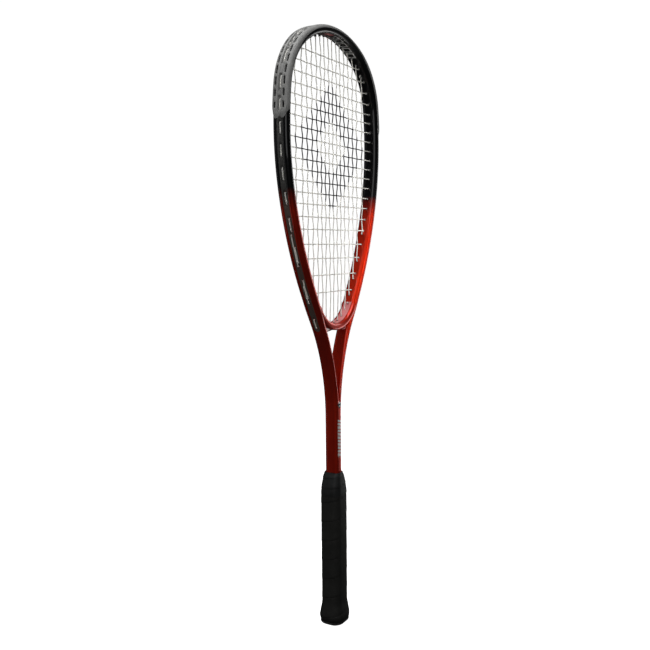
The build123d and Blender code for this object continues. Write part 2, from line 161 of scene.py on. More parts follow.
def combine(piece, operation, verts, faces):
    """Adds a shape to a plain object, or cuts it away, and keeps one closed mesh."""
    other = plain_object("tool", verts, faces)
    for target in (piece, other):
        build = bmesh.new()
        build.from_mesh(target.data)
        bmesh.ops.recalc_face_normals(build, faces=build.faces)
        build.to_mesh(target.data)
        build.free()
    modifier = piece.modifiers.new("combine", "BOOLEAN")
    modifier.operation = operation
    modifier.object = other
    modifier.solver = "EXACT"
    modifier.use_self = True
    graph = bpy.context.evaluated_depsgraph_get()
    result = bpy.data.meshes.new_from_object(piece.evaluated_get(graph))
    piece.modifiers.clear()
    piece.data = result
    bpy.data.objects.remove(other, do_unlink=True)


def finish_piece(piece, material, node, crease=38, merge=1e-3):
    """Gives a plain object its shading, scale and finish, hangs it on the root body and hides the
    CAD part it stands in for.
    """
    mesh = piece.data
    build = bmesh.new()
    build.from_mesh(mesh)
    bmesh.ops.remove_doubles(build, verts=build.verts, dist=merge)
    bmesh.ops.dissolve_degenerate(build, edges=build.edges, dist=1e-4)
    loose = [vert for vert in build.verts if not vert.link_faces]
    bmesh.ops.delete(build, geom=loose, context="VERTS")
    bmesh.ops.recalc_face_normals(build, faces=build.faces)
    for face in build.faces:
        face.smooth = True
    for edge in build.edges:
        if edge.is_manifold and edge.calc_face_angle(0) > radians(crease):
            edge.smooth = False
    bmesh.ops.scale(build, vec=(MM, MM, MM), verts=build.verts)
    build.to_mesh(mesh)
    build.free()
    mesh.materials.clear()
    mesh.materials.append(material)
    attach(piece, "root")
    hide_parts(node)


def make_piece(name, verts, faces, material, node, crease=38, merge=1e-3):
    """A piece made straight from points and faces in millimetres."""
    finish_piece(plain_object(name, verts, faces), material, node, crease, merge)


def grid_faces(rows, columns, first=0):
    """Quads between rings of points."""
    faces = []
    for row in range(rows - 1):
        for column in range(columns):
            a = first + row * columns + column
            b = first + row * columns + (column + 1) % columns
            faces.append((a, b, b + columns, a + columns))
    return faces


def closed_faces(rows, columns, first=0):
    """Quads between rings of points, and a face over each end."""
    last = first + (rows - 1) * columns
    return grid_faces(rows, columns, first) + [tuple(range(first, first + columns)),
                                               tuple(range(last, last + columns))]


def tube(points, radii, sides, verts, faces, up=Vector((0, 1, 0))):
    """Adds a round tube along points, with one radius per point."""
    first = len(verts)
    count = len(points)
    for i, (point, radius) in enumerate(zip(points, radii)):
        before, after = points[max(i - 1, 0)], points[min(i + 1, count - 1)]
        direction = (Vector(after) - Vector(before)).normalized()
        side = direction.cross(up).normalized()
        lift = side.cross(direction).normalized()
        for k in range(sides):
            angle = 2 * pi * k / sides
            offset = side * (radius * cos(angle)) + lift * (radius * sin(angle))
            verts.append(tuple(Vector(point) + offset))
    faces += grid_faces(count, sides, first)
    faces.append(tuple(range(first, first + sides))[::-1])
    last = first + (count - 1) * sides
    faces.append(tuple(range(last, last + sides)))


# -------- materials
FADE_RATE, FADE_START = 40.0, 0.48
CROWN_MARK_LOW, CROWN_MARK_HIGH = -0.0046, 0.0052
SHAFT_FACE, BARS_FOOT, BARS_TOP, BAR_PITCH = 0.0074, 0.1996, 0.2434, 0.0040
BADGE_HEIGHT, BADGE_REACH = 0.2616, 0.0048
STENCIL_HEIGHT, STENCIL_ACROSS, STENCIL_ABOVE, STENCIL_HOLE = 0.555, 0.080, 0.071, 0.44


class Paint:
    """A material's node tree. A method that adds a node gives back its output socket."""

    def __init__(self, name):
        self.material = bpy.data.materials.new(name)
        self.material.use_nodes = True
        self.nodes = self.material.node_tree.nodes
        self.shader = self.nodes["Principled BSDF"]

    def feed(self, socket, value):
        """Links a socket to another, or sets it to a number or a colour."""
        if isinstance(value, bpy.types.NodeSocket):
            self.material.node_tree.links.new(value, socket)
        elif isinstance(value, tuple) and len(value) == 3:
            socket.default_value = (*value, 1)
        else:
            socket.default_value = value

    def set(self, name, value):
        """Feeds an input of the shader."""
        self.feed(self.shader.inputs[name], value)

    def ramp(self, source, *stops):
        """A ramp on a source socket, from (place, colour or grey level) stops."""
        ramp = self.nodes.new("ShaderNodeValToRGB")
        elements = ramp.color_ramp.elements
        for element, (place, colour) in zip(elements, stops):
            element.position = place
            element.color = (*colour, 1) if isinstance(colour, tuple) else (colour,) * 3 + (1,)
        self.feed(ramp.inputs[0], source)
        return ramp.outputs[0]

    def math(self, operation, *inputs):
        """A math node whose inputs are sockets or numbers."""
        node = self.nodes.new("ShaderNodeMath")
        node.operation = operation
        for socket, value in zip(node.inputs, inputs):
            self.feed(socket, value)
        return node.outputs[0]

    def distance(self, value, centre=0.0):
        """How far a value is from a centre."""
        return self.math("ABSOLUTE", self.math("SUBTRACT", value, centre))

    def between(self, value, low, high):
        """1 where a value lies between two numbers."""
        return self.both(self.math("GREATER_THAN", value, low),
                         self.math("LESS_THAN", value, high))

    def both(self, *masks):
        """1 where every mask is 1."""
        result = masks[0]
        for mask in masks[1:]:
            result = self.math("MULTIPLY", result, mask)
        return result

    def either(self, *masks):
        """1 where any mask is 1."""
        result = masks[0]
        for mask in masks[1:]:
            result = self.math("MAXIMUM", result, mask)
        return result

    def mix(self, share, first, second):
        """Mix of two colours, each a socket or three numbers."""
        node = self.nodes.new("ShaderNodeMix")
        node.data_type = "RGBA"
        self.feed(node.inputs[0], share)
        self.feed(node.inputs[6], first)
        self.feed(node.inputs[7], second)
        return node.outputs[2]

    def noise(self, coords, scale, detail=3, roughness=0.5):
        """Noise on a coordinate socket."""
        node = self.nodes.new("ShaderNodeTexNoise")
        node.inputs["Scale"].default_value = scale
        node.inputs["Detail"].default_value = detail
        node.inputs["Roughness"].default_value = roughness
        self.feed(node.inputs["Vector"], coords)
        return node.outputs["Fac"]

    def bump(self, height, strength, distance):
        """Bumps the surface by a height socket, in metres."""
        node = self.nodes.new("ShaderNodeBump")
        node.inputs["Strength"].default_value = strength
        node.inputs["Distance"].default_value = distance
        self.feed(node.inputs["Height"], height)
        self.set("Normal", node.outputs[0])

    def split(self, vector):
        """The three parts of a vector socket."""
        node = self.nodes.new("ShaderNodeSeparateXYZ")
        self.feed(node.inputs[0], vector)
        return tuple(node.outputs)

    def coords(self):
        """Object coordinates, in metres."""
        return self.nodes.new("ShaderNodeTexCoord").outputs["Object"]

    def fade(self, z):
        """0 in the red lower part of the racket, 1 in the black upper part."""
        rise = self.math("MULTIPLY_ADD", z, FADE_RATE, -FADE_RATE * FADE_START)
        return self.ramp(rise, (0.0, 0.0), (1.0, 1.0))


def crown_marks(paint, y):
    """Plain hollow slanted boxes inside the crown, and a rose bar beside them."""
    place = paint.nodes.new("ShaderNodeAttribute")
    place.attribute_name = "wall_place"
    along, depth, width = paint.split(place.outputs["Vector"])
    inner = paint.math("GREATER_THAN", paint.math("SUBTRACT", depth, width), -1.4)
    slanted = paint.math("MULTIPLY_ADD", y, 250.0, along)
    cell = paint.math("FRACT", paint.math(
        "DIVIDE", paint.math("SUBTRACT", slanted, 4.0), 10.8))
    band = paint.between(y, CROWN_MARK_LOW, CROWN_MARK_HIGH)
    outline = paint.both(paint.between(slanted, 4.0, 58.0), paint.between(cell, 0.08, 0.90),
                         band)
    hollow = paint.both(paint.between(cell, 0.24, 0.72), paint.between(y, -0.0030, 0.0036))
    boxes = paint.both(inner, outline, paint.math("SUBTRACT", 1.0, hollow))
    rose = paint.both(inner, paint.between(along, -17.0, 1.5), band)
    return boxes, rose


def shaft_marks(paint, x, y, z):
    """A row of plain slanted bars on the shaft, and a dark lozenge with pale pips above it."""
    side = paint.math("GREATER_THAN", paint.math("ABSOLUTE", y), SHAFT_FACE)
    slanted = paint.math("MULTIPLY_ADD", x, 0.25, z)
    cell = paint.math("FRACT", paint.math("DIVIDE", slanted, BAR_PITCH))
    bars = paint.both(side, paint.between(slanted, BARS_FOOT, BARS_TOP),
                      paint.between(x, -0.0036, 0.0040), paint.math("GREATER_THAN", cell, 0.26))
    drop = paint.distance(z, BADGE_HEIGHT)
    spread = paint.math("ADD", paint.distance(x, 0.0003), drop)
    lozenge = paint.both(side, paint.math("LESS_THAN", spread, BADGE_REACH))
    pips = paint.both(lozenge, paint.between(drop, 0.0010, 0.0026),
                      paint.between(x, -0.0010, 0.0022))
    return paint.either(bars, pips), lozenge


def lacquer_material():
    """Clear-coated metallic paint, red that fades to black above the middle, with marks."""
    paint = Paint("lacquer_red_to_black")
    coords = paint.coords()
    x, y, z = paint.split(coords)
    flake = paint.noise(coords, 9000, 1)
    red = paint.ramp(paint.noise(coords, 60, 2),
                     (0.3, (0.56, 0.017, 0.002)), (0.7, (0.64, 0.024, 0.003)))
    colour = paint.mix(paint.fade(z), red, (0.006, 0.006, 0.007))
    boxes, rose = crown_marks(paint, y)
    bars, lozenge = shaft_marks(paint, x, y, z)
    white = paint.either(boxes, bars)
    colour = paint.mix(rose, colour, (0.80, 0.26, 0.26))
    colour = paint.mix(lozenge, colour, (0.01, 0.01, 0.01))
    paint.set("Base Color", paint.mix(white, colour, (0.94, 0.94, 0.92)))
    marks = paint.either(white, rose, lozenge)
    paint.set("Metallic", paint.math("MULTIPLY_ADD", marks, -0.85, 0.85))
    paint.set("Roughness", paint.ramp(flake, (0.3, 0.36), (0.7, 0.46)))
    paint.set("Coat Weight", 0.7)
    paint.set("Specular IOR Level", 0.3)
    paint.set("Coat Roughness", 0.07)
    paint.bump(flake, 0.05, 0.00002)
    return paint.material


def plastic_material(name, dark, light, roughness=0.4, grain=1500, strength=0.1, lower=None):
    """Moulded plastic with faint colour variation and grain, and a painted reflection of the red
    frame as a tint below the colour change.
    """
    paint = Paint(name)
    coords = paint.coords()
    base = paint.ramp(paint.noise(coords, 120, 4), (0.3, dark), (0.7, light))
    # Painted reflection: below the colour change the base colour is mixed towards the red frame's
    # reflected tint.
    if lower:
        base = paint.mix(paint.fade(paint.split(coords)[2]), lower, base)
    paint.set("Base Color", base)
    fine = paint.noise(coords, grain, 2)
    paint.set("Roughness", paint.ramp(fine, (0.3, roughness - 0.06), (0.7, roughness + 0.08)))
    paint.bump(fine, strength, 0.00005)
    return paint.material


def string_material():
    """Pale filament with a fine twist, darkened where the string bed is stencilled."""
    paint = Paint("string_filament_pale")
    coords = paint.coords()
    x, _, z = paint.split(coords)
    pale = paint.ramp(paint.noise(coords, 400, 3),
                      (0.3, (0.84, 0.83, 0.79)), (0.7, (0.93, 0.92, 0.88)))
    spread = paint.math(
        "ADD", paint.math("MULTIPLY", paint.distance(x), 1 / STENCIL_ACROSS),
        paint.math("MULTIPLY", paint.distance(z, STENCIL_HEIGHT), 1 / STENCIL_ABOVE))
    ink = paint.between(spread, STENCIL_HOLE, 1.0)
    paint.set("Base Color", paint.mix(ink, pale, (0.004, 0.004, 0.006)))
    paint.set("Transmission Weight", paint.math("MULTIPLY_ADD", ink, -0.4, 0.4))
    paint.set("Roughness", 0.5)
    paint.set("IOR", 1.35)
    paint.bump(paint.noise(coords, 5000, 2), 0.15, 0.00005)
    return paint.material


def grip_material():
    """Dull black cushion grip: fine grain, small pores and paler worn ridges."""
    paint = Paint("grip_cushion_black")
    coords = paint.coords()
    cells = paint.nodes.new("ShaderNodeTexVoronoi")
    cells.inputs["Scale"].default_value = 900
    paint.feed(cells.inputs["Vector"], coords)
    grain = paint.noise(coords, 2600, 3)
    base = paint.ramp(paint.noise(coords, 45, 4),
                      (0.3, (0.014, 0.014, 0.013)), (0.72, (0.024, 0.024, 0.022)))
    dust = paint.ramp(paint.noise(coords, 260, 5, 0.7), (0.5, 0.0), (0.8, 1.0))
    worn = paint.math("MULTIPLY", dust, 0.25)
    paint.set("Base Color", paint.mix(worn, base, (0.045, 0.045, 0.042)))
    paint.set("Roughness", paint.ramp(grain, (0.3, 0.55), (0.7, 0.72)))
    pores = paint.math("MULTIPLY", cells.outputs["Distance"], 0.6)
    paint.bump(paint.math("ADD", pores, grain), 0.35, 0.00012)
    paint.set("Specular IOR Level", 0.2)
    return paint.material


def tape_material():
    """Glossier black vinyl tape with faint stretch lines round the handle."""
    paint = Paint("finishing_tape_black")
    coords = paint.coords()
    stretch = paint.nodes.new("ShaderNodeMapping")
    stretch.inputs["Scale"].default_value = (40, 40, 1400)
    paint.feed(stretch.inputs["Vector"], coords)
    lines = paint.noise(stretch.outputs[0], 1, 3)
    paint.set("Base Color", paint.ramp(paint.noise(coords, 90, 3), (0.3, (0.012, 0.013, 0.013)),
                                       (0.7, (0.020, 0.021, 0.021))))
    paint.set("Roughness", paint.ramp(lines, (0.3, 0.46), (0.7, 0.58)))
    paint.bump(lines, 0.12, 0.00008)
    paint.set("Specular IOR Level", 0.25)
    return paint.material


def steel_material():
    """Drawn steel wire with fine lengthwise scratches."""
    paint = Paint("staple_steel_bright")
    scratch = paint.noise(paint.coords(), 4000, 2)
    paint.set("Base Color", paint.ramp(scratch, (0.3, (0.5, 0.5, 0.49)), (0.7, 0.62)))
    paint.set("Metallic", 1.0)
    paint.set("Roughness", paint.ramp(scratch, (0.3, 0.25), (0.7, 0.4)))
    return paint.material


LACQUER = lacquer_material()
GUARD = plastic_material("guard_plastic_grey", (0.24, 0.24, 0.235), (0.30, 0.30, 0.292), 0.5)
# The strips' brown tint below the colour change is a painted reflection of the red frame, not the
# plastic's own colour.
STRIP = plastic_material("strip_plastic_dark", (0.045, 0.044, 0.042), (0.062, 0.061, 0.058), 0.45,
                         lower=(0.125, 0.085, 0.070))
CAP = plastic_material("butt_cap_rubber_black", (0.012, 0.012, 0.011), (0.02, 0.02, 0.019), 0.55)
FOAM = plastic_material("pallet_foam_cream", (0.50, 0.46, 0.36), (0.60, 0.56, 0.45), 0.75, 900, 0.4)
ADHESIVE = plastic_material("adhesive_film_white", (0.60, 0.58, 0.52), (0.70, 0.68, 0.62), 0.6)
STRING = string_material()
GRIP = grip_material()
TAPE = tape_material()
STEEL = steel_material()


# -------- hoop, arms and shaft
def half_depth(height):
    """Half the frame's depth through Y at a height."""
    share = smooth(TAPER[1], TAPER[0], height)
    return SHAFT_HALF_DEPTH + share * (HALF_BEAM - SHAFT_HALF_DEPTH)


def tube_section(width, half_y, outer_r, inner_r, groove_half, groove_depth):
    """Loop of (depth below the outer face, y) round a section of the tube."""
    inner_r = max(0.0, min(inner_r, width - outer_r - 0.05))
    points = [(groove_depth, share * groove_half) for share in (0, 0.5, 0.93)]
    points += [(groove_depth * 0.9, groove_half * 0.985), (groove_depth * 0.15, groove_half),
               (0.0, groove_half + 0.25)]
    quarter = [radians(90 * step / 8) for step in range(9)]
    points += [(outer_r * (1 - cos(angle)), half_y - outer_r * (1 - sin(angle)))
               for angle in quarter]
    points += [(width - inner_r * (1 - sin(angle)), half_y - inner_r * (1 - cos(angle)))
               for angle in quarter]
    points += [(width, (half_y - inner_r) * 0.5), (width, 0.0)]
    back = [(depth, -y) for depth, y in points[1:-1]][::-1]
    return points + back


def fork_curve(steps):
    """Inner edge of an arm from the bridge to the fork, as points."""
    start = Vector(wall_point(FORK_ALONG, TUBE))
    lean = Vector((cos(ARM_HEADING), -sin(ARM_HEADING)))
    tip = Vector((1.2, FORK_TIP + 4.0))
    chord = tip - start
    turn = chord.angle(lean)
    arc_radius = chord.length / (2 * sin(turn))
    normal = Vector((-lean.y, lean.x))
    if normal.dot(chord) < 0:
        normal = -normal
    centre = start + normal * arc_radius
    points = []
    for step in range(steps + 1):
        angle = 2 * turn * step / steps
        spoke = -normal * cos(angle) + lean * sin(angle)
        points.append(tuple(centre + spoke * arc_radius))
    return points


def outer_at(height):
    """The outer face's x at a height on the arms and the shaft."""
    if height > wall_point(WALL_END, 0)[1]:
        return wall_point(along_at(1, height, 0, FORK_ALONG - 20, WALL_END), 0)[0]
    end_x, end_z = wall_point(WALL_END, 0)
    lean = ARM_HEADING - pi / 2
    centre_z = end_z - THROAT_RADIUS * sin(lean)
    if height > centre_z:
        rise = height - centre_z
        return SHAFT_HALF + THROAT_RADIUS - sqrt(THROAT_RADIUS**2 - rise**2)
    return SHAFT_HALF


def frame_stations():
    """Pairs of outer and inner points with a section, from the crown to the foot."""
    stations = []
    count = ceil(FORK_ALONG / 3.0)
    for step in range(count + 1):
        along = FORK_ALONG * step / count
        outer, inner = wall_point(along, 0), wall_point(along, tube_width(along))
        stations.append((outer, inner, along))
    fork = fork_curve(34)
    tip_x, tip_z = fork[-1]
    for step in range(1, 9):
        share = step / 8
        fork.append((tip_x * sqrt(max(0.0, 1 - share**2)), tip_z - 4.0 * share))
    rise = stations[-1][1][1] - stations[-1][0][1]
    for number, inner in enumerate(fork[1:], 1):
        share = number / (len(fork) - 1)
        height = inner[1] - rise * (1 - share)
        stations.append(((outer_at(height), height), inner, FORK_ALONG + 3.0 * number))
    height = stations[-1][0][1]
    while height > SHAFT_FOOT + 4:
        height -= 4 if height > 180 else 12
        stations.append(((outer_at(height), height), (0.0, height), WALL_END + 400))
    return stations


def build_frame():
    """The hoop, its arms and the shaft as one closed surface."""
    verts, faces, places = [], [], []
    rings = frame_stations()
    for side in (1, -1):
        first = len(verts)
        for outer, inner, along in rings:
            width = hypot(outer[0] - inner[0], outer[1] - inner[1])
            height = (outer[1] + inner[1]) / 2
            left = CHANNEL_ALONG - along
            end = min(1.0, max(0.0, left / 5.0))
            groove_half = CHANNEL_HALF * sqrt(1 - (1 - end)**2) if left > 0 else 0.2
            groove = CHANNEL_DEPTH * smooth(0, 2.5, left)
            inner_corner = INNER_CORNER * smooth(FORK_TIP - 0.5, FORK_TIP + 34, inner[1])
            loop = tube_section(width, half_depth(height), CORNER, inner_corner,
                                max(groove_half, 0.2), groove)
            for depth, y in loop:
                share = depth / width
                px = outer[0] + (inner[0] - outer[0]) * share
                pz = outer[1] + (inner[1] - outer[1]) * share
                verts.append((side * px, y, pz))
                places.append((side * along, depth, width))
        faces += grid_faces(len(rings), len(loop), first)
        foot = first + (len(rings) - 1) * len(loop)
        faces.append(tuple(range(foot, foot + len(loop))))
    faces = [face for face in faces if any(abs(verts[i][0]) > 1e-4 for i in face)]
    hoop = plain_object("hoop_arms_and_shaft", verts, faces)
    place = hoop.data.attributes.new("wall_place", "FLOAT_VECTOR", "POINT")
    place.data.foreach_set("vector", [value for entry in places for value in entry])
    finish_piece(hoop, LACQUER, "frame_tube", crease=50, merge=2e-3)


def build_bridge():
    """The throat bridge: a ring that leaves both arms, with a thin web behind it."""
    verts, faces = [], []
    centre_z = BRIDGE_TOP + BRIDGE_RADIUS
    rows = 65
    for row in range(rows):
        angle = (pi - ARM_HEADING + 0.01) * (2 * row / (rows - 1) - 1)
        spoke = Vector((sin(angle), -cos(angle)))
        loop = tube_section(BRIDGE_WIDTH, BRIDGE_HALF_BEAM, BRIDGE_CORNER, BRIDGE_CORNER, 0.2, 0)
        for depth, y in loop:
            reach = BRIDGE_RADIUS + depth
            verts.append((reach * spoke.x, y, centre_z + reach * spoke.y))
    faces += closed_faces(rows, len(loop))
    first = len(verts)
    steps = 25
    for step in range(steps):
        x = WEB_SPAN * (2 * step / (steps - 1) - 1)
        low = BRIDGE_FOOT + 0.6 - BRIDGE_FOOT_RADIUS + sqrt(BRIDGE_FOOT_RADIUS**2 - x**2)
        high = centre_z - sqrt((BRIDGE_RADIUS + 3)**2 - x**2)
        verts += [(x, -WEB_HALF_FOOT, low + 1), (x, -WEB_HALF_TOP, low + 2),
                  (x, -WEB_HALF_TOP, high), (x, WEB_HALF_TOP, high),
                  (x, WEB_HALF_TOP, low + 2), (x, WEB_HALF_FOOT, low + 1)]
    faces += closed_faces(steps, 6, first)
    make_piece("throat_bridge_shell", verts, faces, LACQUER, "throat_bridge",
               crease=50)


build_frame()
build_bridge()


# -------- where the strings go
CORNER_INSET = TUBE + BARREL_TIP + CORNER_REACH
FLOOR_DEPTH = STRIP_FLOOR - STRING_INSET
STRIP_THICKNESS = 2.0 - STRIP_FLOOR


def wall_hole(along, plane):
    """A string end through the wall: its corner inside the head and its corner outside."""
    return {"along": along, "inner": wall_point(along, CORNER_INSET),
            "outer": wall_point(along, STRING_INSET), "plane": plane}


def mirrored(end):
    """The same string end on the other side."""
    flipped = dict(end)
    flipped["inner"] = (-end["inner"][0], end["inner"][1])
    flipped["outer"] = (-end["outer"][0], end["outer"][1])
    if "along" in end:
        flipped["along"] = -end["along"]
    return flipped


def bridge_surface(across):
    """Height of the bridge's top face."""
    return BRIDGE_TOP + BRIDGE_RADIUS - sqrt(BRIDGE_RADIUS**2 - across**2)


def bridge_corner(across):
    """Where a main string turns above the bridge."""
    return across, bridge_surface(across) + BARREL_TIP + CORNER_REACH


def bridge_underside(across):
    """Height of the bridge's lower face."""
    return BRIDGE_FOOT - BRIDGE_FOOT_RADIUS + sqrt(BRIDGE_FOOT_RADIUS**2 - across**2)


main_tops = [wall_hole(along_at(0, across, CORNER_INSET, 0, WIDEST_ALONG), STRING_SIDE)
             for across in MAIN_X]
main_feet = []
for across, exit_x in zip(MAIN_X, BRIDGE_EXIT_X):
    roof = bridge_underside(exit_x) + RECESS_ROOF
    main_feet.append({"inner": bridge_corner(across),
                      "outer": (exit_x, roof - STRIP_THICKNESS - FLOOR_DEPTH),
                      "plane": STRING_SIDE})
for across, exit_z in zip(MAIN_X[2:4], ARM_EXIT_Z):
    along = along_at(1, exit_z, STRING_INSET, 0, WALL_END)
    main_feet.append({"inner": bridge_corner(across),
                      "outer": wall_point(along, STRING_INSET), "along": along,
                      "plane": STRING_SIDE})
for across in MAIN_X[4:]:
    along = along_at(0, across, CORNER_INSET, WIDEST_ALONG, WALL_END)
    main_feet.append(wall_hole(along, STRING_SIDE))
cross_ends = [wall_hole(along_at(1, height, CORNER_INSET, 0, WALL_END), -STRING_SIDE)
              for height in CROSS_Z]
main_tie = wall_hole((cross_ends[0]["along"] + cross_ends[1]["along"]) / 2, STRING_SIDE)
first_tie = wall_hole((cross_ends[0]["along"] + main_tops[-1]["along"]) / 2, -STRING_SIDE)
last_tie = wall_hole((main_feet[3]["along"] + main_feet[4]["along"]) / 2, -STRING_SIDE)

main_route = [mirrored(main_tie)]
for number, (foot_end, top_end) in enumerate(zip(main_feet[::-1], main_tops[::-1])):
    pair = [mirrored(top_end), mirrored(foot_end)]
    main_route += pair if number % 2 == 0 else pair[::-1]
for number, (foot_end, top_end) in enumerate(zip(main_feet, main_tops)):
    pair = [top_end, foot_end]
    main_route += pair if number % 2 == 0 else pair[::-1]
main_route.append(main_tie)
cross_route = [mirrored(first_tie)]
for number, end in enumerate(cross_ends):
    pair = [mirrored(end), end]
    cross_route += pair if number % 2 == 0 else pair[::-1]
cross_route.append(last_tie)

all_ends = main_route + cross_route
bumper_ends = [end for end in all_ends if abs(end.get("along", WALL_END)) < BUMPER_ALONG]
bridge_ends = [end for end in all_ends if "along" not in end]
loops = [(first["along"], last["along"]) for route in (main_route, cross_route)
         for first, last in zip(route[::2], route[1::2]) if "along" in first and "along" in last]


def recess_share(along):
    """1 where a string lies in the channel, 0 where the strip is a pad."""
    share = 0.0
    for first, last in loops:
        low, high = sorted((first, last))
        share = max(share, smooth(low - 2.6, low - 1.2, along)
                    * (1 - smooth(high + 1.2, high + 2.6, along)))
    return share


# -------- guard and grommet strips
def grommet_length(end):
    """Distance between a string end's outer and inner corners."""
    (inner_x, inner_z), (outer_x, outer_z) = end["inner"], end["outer"]
    return hypot(inner_x - outer_x, inner_z - outer_z)


def add_rod(end, stations, verts, faces):
    """A turned shape on a grommet's axis: (distance from the outer corner, radius) pairs."""
    (inner_x, inner_z), (outer_x, outer_z) = end["inner"], end["outer"]
    length = grommet_length(end)
    step_x, step_z = (inner_x - outer_x) / length, (inner_z - outer_z) / length
    points = [(outer_x + step_x * at, end["plane"], outer_z + step_z * at) for at, _ in stations]
    tube(points, [radius for _, radius in stations], 20, verts, faces)


def fit_grommets(piece, ends):
    """Adds a barrel with a rounded tip for each string end, then bores them all."""
    verts, faces = [], []
    for end in ends:
        tip = grommet_length(end) - CORNER_REACH
        add_rod(end, ((FLOOR_DEPTH + 0.25, BARREL_RADIUS), (tip - 0.35, 1.37),
                      (tip - 0.1, 1.26), (tip, 1.1)), verts, faces)
    combine(piece, "UNION", verts, faces)
    verts, faces = [], []
    for end in ends:
        tip = grommet_length(end) - CORNER_REACH
        add_rod(end, ((FLOOR_DEPTH - 0.7, 1.18), (FLOOR_DEPTH + 0.05, 1.1),
                      (FLOOR_DEPTH + 0.7, BARREL_BORE), (tip - 0.35, BARREL_BORE),
                      (tip + 0.3, 1.02)), verts, faces)
    combine(piece, "DIFFERENCE", verts, faces)


def wall_solid(name, first, last, spacing, section, skew=None):
    """A closed solid that follows the wall, from sections of (inset, y) points."""
    verts, faces = [], []
    rows = ceil((last - first) / spacing) + 1
    for row in range(rows):
        along = first + (last - first) * row / (rows - 1)
        loop = section(along)
        for inset, y in loop:
            x, z = wall_point(skew(along, y) if skew else along, inset)
            verts.append((x, y, z))
    faces += closed_faces(rows, len(loop))
    return plain_object(name, verts, faces)


def both_halves(half):
    """A whole section loop from the points of its +y half."""
    return half + [(inset, -y) for inset, y in half[::-1] if abs(y) > 1e-6]


def guard_section(along):
    """Section of the bumper guard: a groove between two rolled flanges."""
    left = BUMPER_ALONG - abs(along)
    proud = 1.6 * (0.35 + 0.65 * smooth(-0.5, 5, left))
    floor_inset = -0.35 * proud + recess_share(along) * (STRIP_FLOOR + 0.35 * proud)
    lip = 2.1 + 2.9 * smooth(20, 100, abs(along))
    under = HALF_BEAM - CORNER + sqrt(CORNER**2 - max(0.0, CORNER - lip)**2)
    inner_lip = min(2.2, lip - 0.7)
    inner_under = HALF_BEAM - CORNER + sqrt(CORNER**2 - (CORNER - inner_lip)**2)
    half = [(1.9, 0.0), (1.9, 3.5), (0.8, 3.75), (0.7, 7.0), (inner_lip, inner_under - 0.5),
            (lip - 0.1, under - 0.3), (lip + 0.05, under + 0.25), (lip - 0.1, under + 0.46)]
    low_angle = asin(min(0.9, max(0.17, (CORNER - lip + 0.45) / (CORNER + 0.6))))
    for step in range(9):
        angle = low_angle + (pi / 2 - low_angle) * step / 8
        reach = CORNER + proud * (0.25 + 0.75 * sin(angle)**0.8)
        half.append((CORNER - reach * sin(angle), HALF_BEAM - CORNER + reach * cos(angle)))
    half += [(-proud, 4.3), (-proud, 3.2), (-proud * 0.97, 2.5), (-proud * 0.8, 2.08),
             (-proud * 0.45, 1.9), (min(floor_inset, 1.0), 1.78),
             (floor_inset, 1.5), (floor_inset, 0.7), (floor_inset, 0.0)]
    return both_halves(half)


def guard_skew(along, y):
    """Draws the guard's ends back at their outer edges, which leaves two rounded lobes."""
    edge = max(0.0, (abs(y) - 4.6) / 5.0)
    throat = max(0.0, (3.4 - abs(y)) / 3.4)
    back = 2.2 + 9.0 * edge**1.8 + 1.5 * throat**2
    share = smooth(BUMPER_ALONG - 34, BUMPER_ALONG, abs(along))
    return along - (1 if along > 0 else -1) * back * share


def slot_half_length(along):
    """Half the length of a vent slot: long on the flanks, short towards the crown."""
    rise = smooth(35, 85, abs(along))
    fall = smooth(BUMPER_ALONG - 50, BUMPER_ALONG - 12, abs(along))
    return 1.7 + 2.9 * rise - 1.3 * fall


def add_slot(along, row, verts, faces):
    """A round-ended bar through the guard, that a vent slot is cut with."""
    first = len(verts)
    reach = slot_half_length(along) - SLOT_HALF_WIDTH
    outline = []
    for step in range(7):
        angle = radians(-90 + 180 * step / 6)
        outline.append((reach + SLOT_HALF_WIDTH * cos(angle), SLOT_HALF_WIDTH * sin(angle)))
    outline += [(-a, -b) for a, b in outline]
    for inset, grow in ((-2.6, 1.25), (-1.45, 1.18), (-1.2, 1.0), (1.0, 1.0)):
        for a, b in outline:
            x, z = wall_point(along + a * grow, inset)
            verts.append((x, row + b * grow, z))
    faces += closed_faces(4, len(outline), first)


def build_guard():
    """The bumper guard over the crown, with its vent slots and grommets."""
    guard = wall_solid("bumper_guard_moulding", -BUMPER_ALONG, BUMPER_ALONG, 1.3,
                       guard_section, guard_skew)
    verts, faces = [], []
    count = int((BUMPER_ALONG - 14) / SLOT_PITCH)
    for number in range(-count, count + 1):
        for row in (-SLOT_ROW, SLOT_ROW):
            if number:
                add_slot(number * SLOT_PITCH, row, verts, faces)
    combine(guard, "DIFFERENCE", verts, faces)
    fit_grommets(guard, bumper_ends)
    finish_piece(guard, GUARD, "bumper_guard")


def strip_section(along):
    """Section of a side strip: two rails with a floor that rises to a pad between loops."""
    left = CHANNEL_ALONG - abs(along)
    width = sqrt(max(0.03, 1 - (1 - min(1.0, max(0.0, left / 3.4)))**2))
    floor_inset = STRIP_PAD + recess_share(along) * (STRIP_FLOOR - STRIP_PAD)
    half = [(1.95, 0.0), (1.95, 3.5), (1.6, 3.62), (0.55, 3.62), (0.28, 3.5), (0.15, 3.2),
            (0.12, 2.7), (0.18, 2.2), (0.34, 1.96), (max(0.45, floor_inset - 0.2), 1.82),
            (floor_inset, 1.6), (floor_inset, 0.8), (floor_inset, 0.0)]
    return both_halves([(inset, y * width) for inset, y in half])


for word, side in (("left", -1), ("right", 1)):
    low, high = sorted((side * (BUMPER_ALONG - 4), side * (CHANNEL_ALONG - 0.1)))
    strip = wall_solid(f"grommet_strip_{word}_moulding", low, high, 1.0, strip_section)
    fit_grommets(strip, [end for end in all_ends if BUMPER_ALONG <= end.get("along", 0) * side])
    finish_piece(strip, STRIP, f"grommet_strip_{word}")
build_guard()


